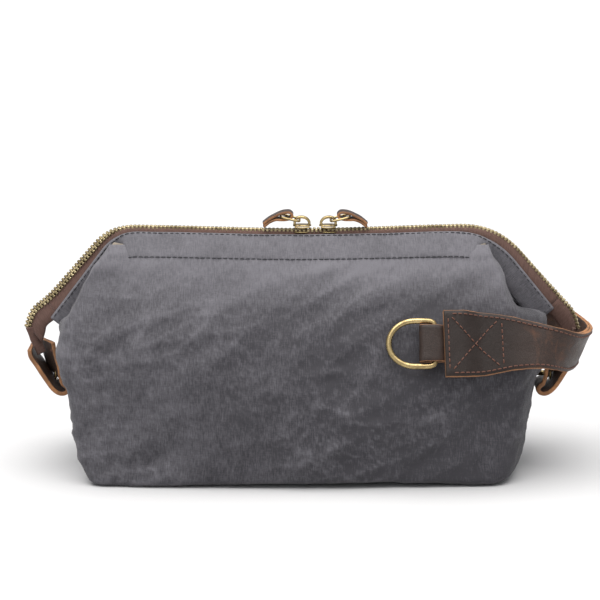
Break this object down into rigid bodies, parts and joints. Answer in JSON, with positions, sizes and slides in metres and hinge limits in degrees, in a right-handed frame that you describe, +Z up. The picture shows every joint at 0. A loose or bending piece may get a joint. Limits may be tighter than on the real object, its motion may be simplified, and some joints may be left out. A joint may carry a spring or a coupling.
{
  "type": "shaving kit bag",
  "caption": "Soft canvas wash bag with a wide wire-framed mouth, two-way zip, leather carry handle, end tabs and D-ring.",
  "frame": {"origin": "on the ground at the middle of the canvas base", "axes": "+X to the end with the handle, -Y to the front with the D-ring, +Z up"},
  "size_m": [0.3548, 0.1364, 0.1586],
  "materials": {
    "canvas": "waxed woven canvas",
    "lining_cloth": "plain cotton lining",
    "stiffener": "matt sheet",
    "brown_leather": "oiled leather with raw edges",
    "zip_tape_cloth": "woven tape",
    "antique_brass": "antique, polished on its edges",
    "spring_steel": "bright drawn wire"
  },
  "bodies": {
    "bag_body": {"bottom_panel": "canvas", "base_board": "stiffener", "front_panel": "canvas", "back_panel": "canvas", "left_gusset": "canvas", "right_gusset": "canvas", "lining": "lining_cloth", "left_tab_rivet": "antique_brass", "right_tab_rivet": "antique_brass", "left_end_tab": "brown_leather", "right_end_tab": "brown_leather", "left_tail_teeth_front": "antique_brass", "left_tail_tape_front": "zip_tape_cloth", "right_tail_teeth_front": "antique_brass", "right_tail_tape_front": "zip_tape_cloth", "left_tail_teeth_back": "antique_brass", "left_tail_tape_back": "zip_tape_cloth", "right_tail_teeth_back": "antique_brass", "right_tail_tape_back": "zip_tape_cloth", "handle_strap_inner": "brown_leather", "handle_strap_outer": "brown_leather", "d_ring_loop": "brown_leather"},
    "front_mouth": {"front_mouth_panel": "canvas", "left_front_gusset_fold": "canvas", "right_front_gusset_fold": "canvas", "front_hem": "canvas", "front_wire_bow": "spring_steel", "front_zip_teeth": "antique_brass", "front_zip_tape": "zip_tape_cloth"},
    "back_mouth": {"back_mouth_panel": "canvas", "left_back_gusset_fold": "canvas", "right_back_gusset_fold": "canvas", "back_hem": "canvas", "back_wire_bow": "spring_steel", "back_zip_teeth": "antique_brass", "back_zip_tape": "zip_tape_cloth"},
    "left_slider_body": {"left_slider": "antique_brass"},
    "left_pull": {"left_pull_ring": "antique_brass"},
    "left_tag": {"left_pull_tag": "brown_leather"},
    "right_slider_body": {"right_slider": "antique_brass"},
    "right_pull": {"right_pull_ring": "antique_brass"},
    "right_tag": {"right_pull_tag": "brown_leather"},
    "front_ring": {"d_ring": "antique_brass"}
  },
  "joints": [
    {"name": "front_mouth_fold", "type": "hinge", "parent": "bag_body", "child": "front_mouth", "pos_m": [0, 0, 0.1], "axis": [1, 0, 0], "range_deg": [0, 65]},
    {"name": "back_mouth_fold", "type": "hinge", "parent": "bag_body", "child": "back_mouth", "pos_m": [0, 0, 0.1], "axis": [-1, 0, 0], "range_deg": [0, 65]},
    {"name": "left_slider_slide", "type": "slide", "parent": "front_mouth", "child": "left_slider_body", "axis": [-1, 0, 0], "range_m": [0, 0.095]},
    {"name": "right_slider_slide", "type": "slide", "parent": "front_mouth", "child": "right_slider_body", "axis": [1, 0, 0], "range_m": [0, 0.08]},
    {"name": "left_pull_swing", "type": "hinge", "parent": "left_slider_body", "child": "left_pull", "pos_m": [-0.002, 0, 0.1518], "axis": [0, 1, 0], "range_deg": [0, 100]},
    {"name": "right_pull_swing", "type": "hinge", "parent": "right_slider_body", "child": "right_pull", "pos_m": [0.017, 0, 0.1518], "axis": [0, -1, 0], "range_deg": [0, 100]},
    {"name": "left_tag_swing", "type": "hinge", "parent": "left_pull", "child": "left_tag", "pos_m": [-0.01359, 0, 0.15491], "axis": [0, 1, 0], "range_deg": [0, 50]},
    {"name": "right_tag_swing", "type": "hinge", "parent": "right_pull", "child": "right_tag", "pos_m": [0.02859, 0, 0.15491], "axis": [0, -1, 0], "range_deg": [0, 50]},
    {"name": "d_ring_swing", "type": "hinge", "parent": "bag_body", "child": "front_ring", "pos_m": [0.0785, -0.0574, 0.09053], "axis": [0, 0.4365, 0.8997], "range_deg": [0, 110]}
  ]
}
